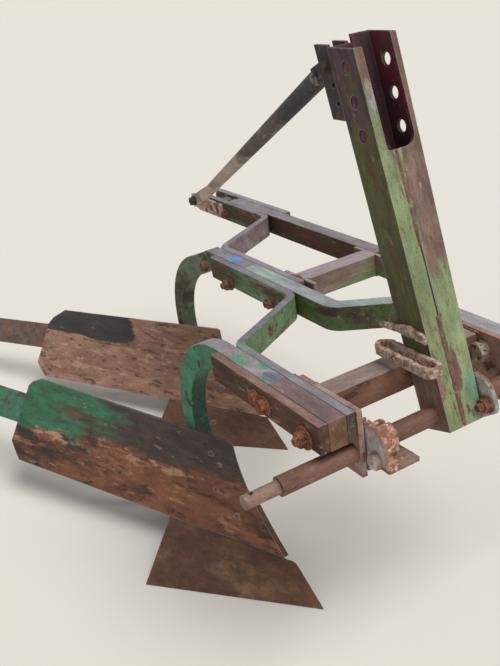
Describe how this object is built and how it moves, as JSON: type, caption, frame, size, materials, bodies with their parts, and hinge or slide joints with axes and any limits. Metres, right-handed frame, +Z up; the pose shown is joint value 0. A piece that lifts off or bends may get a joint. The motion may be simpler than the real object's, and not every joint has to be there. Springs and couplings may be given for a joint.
{
  "type": "mounted moldboard plough",
  "caption": "Tractor-mounted right-hand moldboard plough: staggered flat-bar frame, leaning mast, cross shaft with hitch pins, curved legs with moldboards, one station empty, old rusty paint",
  "frame": {"origin": "middle of the cross shaft, half way between the two lower hitch pins", "axes": "+X is the plough's left, +Y its rear, away from the tractor, +Z up as it stands on level ground"},
  "size_m": [1.2531, 2.216, 1.2195],
  "materials": {
    "frame_rust": "worn paint over brown rust",
    "frame_green": "faded dark green paint with rust",
    "frame_grey": "weathered purple-grey paint and rust",
    "tube_rust": "dry red-brown rust",
    "shaft_rust": "smooth red-brown rust",
    "worn_plate": "dull grey worn steel",
    "clamp_crust": "thick flaking tan rust crust",
    "mast_green": "matte sage green paint with rust",
    "dark_rust": "dark brown rust",
    "brace_grey": "grey-brown weathered paint",
    "leg_green": "emerald green paint",
    "leg_grey": "dull grey-green paint",
    "board_green": "old green paint over rust",
    "board_rust": "tan-brown earth-polished rust",
    "share_steel": "dark rust with earth"
  },
  "bodies": {
    "plough": {"right_side_plate": "frame_rust", "spacer_block": "frame_rust", "right_joggled_bar": "frame_green", "left_joggled_bar": "frame_green", "left_station_plate": "frame_green", "main_bar": "frame_green", "left_bar": "frame_rust", "left_side_plate": "frame_grey", "front_cross_tube": "tube_rust", "rear_cross_tube": "frame_grey", "right_bracket": "tube_rust", "left_bracket": "tube_rust", "mast_right_channel": "mast_green", "mast_left_channel": "mast_green", "brace_ears": "dark_rust", "brace_tube": "brace_grey", "brace_lug": "tube_rust", "mast_loop": "clamp_crust", "mast_strap": "clamp_crust", "front_leg": "leg_green", "front_frog": "dark_rust", "front_moldboard": "board_green", "front_share": "share_steel", "front_shin": "share_steel", "front_landside": "share_steel", "front_stay": "dark_rust", "front_slat": "board_green", "rear_leg": "leg_grey", "rear_frog": "dark_rust", "rear_moldboard": "board_rust", "rear_share": "share_steel", "rear_shin": "share_steel", "rear_landside": "share_steel", "rear_stay": "dark_rust", "rear_slat": "board_rust"},
    "shaft": {"cross_shaft": "shaft_rust", "right_sector": "worn_plate", "left_sector": "worn_plate", "right_clamp": "clamp_crust", "left_clamp": "clamp_crust"}
  },
  "joints": [
    {"name": "shaft_turn", "type": "hinge", "parent": "plough", "child": "shaft", "pos_m": [0, 0, 0], "axis": [1, 0, 0], "range_deg": [-15, 15]}
  ]
}
